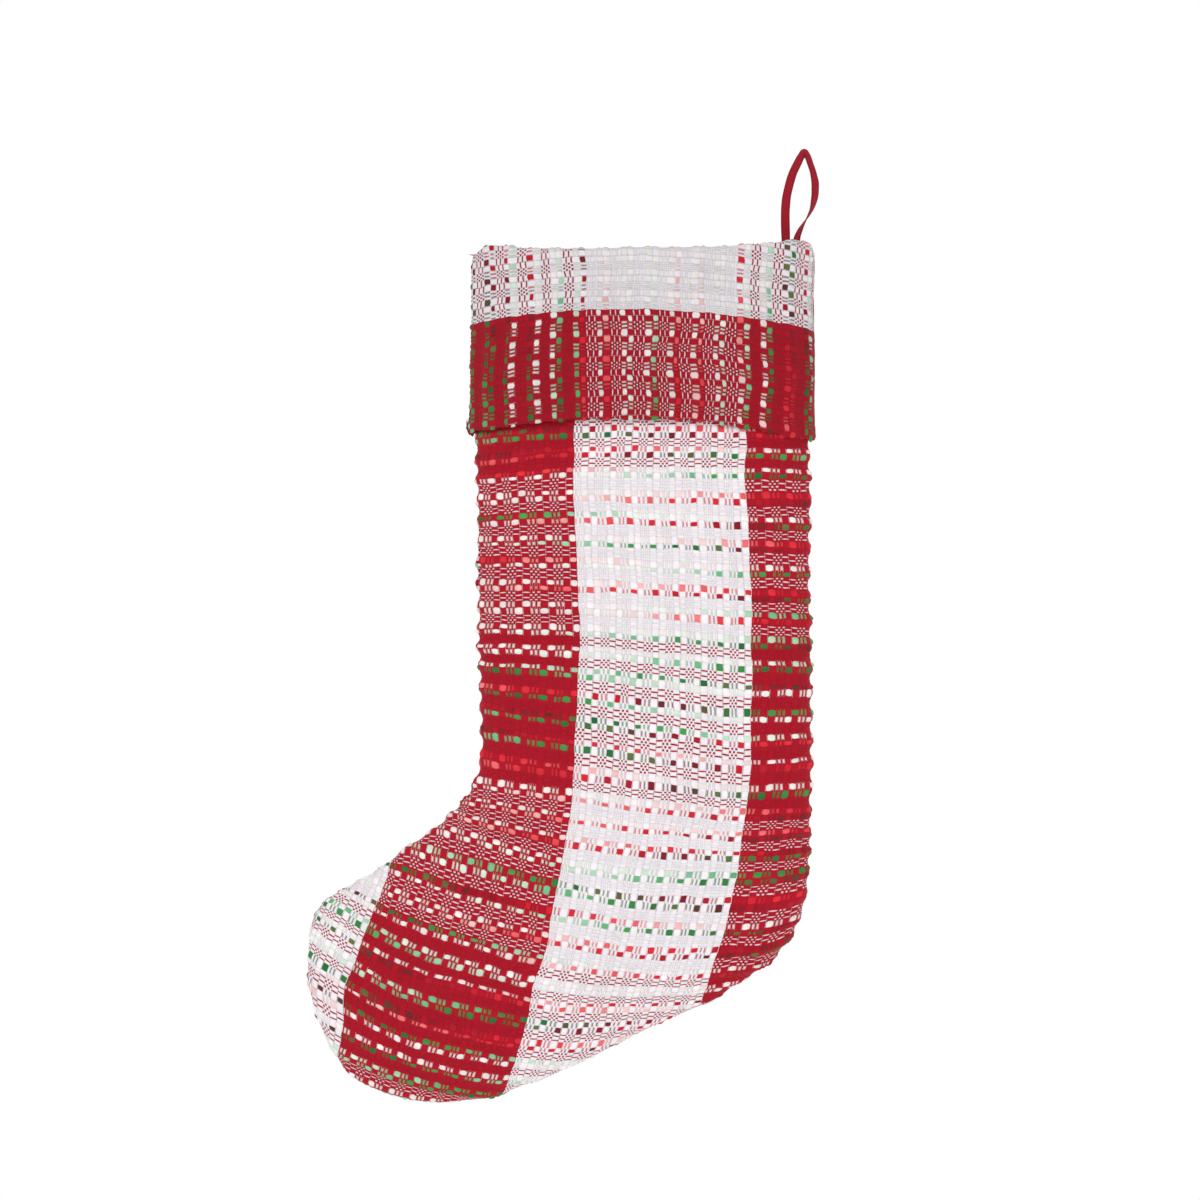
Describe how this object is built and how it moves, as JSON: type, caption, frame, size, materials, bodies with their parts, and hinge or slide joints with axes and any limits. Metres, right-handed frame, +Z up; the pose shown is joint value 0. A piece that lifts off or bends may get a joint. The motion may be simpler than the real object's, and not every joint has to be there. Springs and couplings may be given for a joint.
{
  "type": "hanging stocking",
  "caption": "Woven red and white plaid holiday stocking with a folded-down cuff, a cotton lining and a red tape loop to hang it by.",
  "frame": {"origin": "the hook's place, inside the top of the hanging loop", "axes": "+Z up, -Y the front that is seen, -X the way the toe points"},
  "size_m": [0.3021, 0.0424, 0.5616],
  "materials": {
    "woven_plaid": "chunky hand-woven cotton, red and white warp bands crossed by white, red and green slub yarns",
    "cuff_facing": "wrong side of the same woven cloth, turned in under the cuff",
    "lining_cotton": "plain off-white cotton lining",
    "tape_red": "flat woven tape, crimson",
    "thread_red": "twisted sewing thread and rolled seam edges",
    "thread_white": "twisted sewing thread and rolled lining edges"
  },
  "bodies": {
    "loop": {"hanging_loop": "tape_red"},
    "stocking": {"front_panel": "woven_plaid", "back_panel": "woven_plaid", "front_lining": "lining_cotton", "back_lining": "lining_cotton", "body_seam": "thread_red", "lining_seam": "thread_white", "mouth_seam": "thread_red", "cuff_seam_instep": "thread_red", "cuff_seam_heel": "thread_red", "loop_tack": "thread_red"},
    "cuff_front": {"cuff_front": "woven_plaid", "cuff_front_facing": "cuff_facing"},
    "cuff_back": {"cuff_back": "woven_plaid", "cuff_back_facing": "cuff_facing"}
  },
  "joints": [
    {"name": "swing", "type": "hinge", "parent": "loop", "child": "stocking", "pos_m": [-0.0075, 0, -0.0525], "axis": [1, 0, 0], "range_deg": [-90, 90]},
    {"name": "cuff_front_lift", "type": "hinge", "parent": "stocking", "child": "cuff_front", "pos_m": [-0.09495, -0.01, -0.057], "axis": [-1, 0, 0], "range_deg": [0, 20]},
    {"name": "cuff_back_lift", "type": "hinge", "parent": "stocking", "child": "cuff_back", "pos_m": [-0.09495, 0.01, -0.057], "axis": [1, 0, 0], "range_deg": [0, 20]}
  ]
}
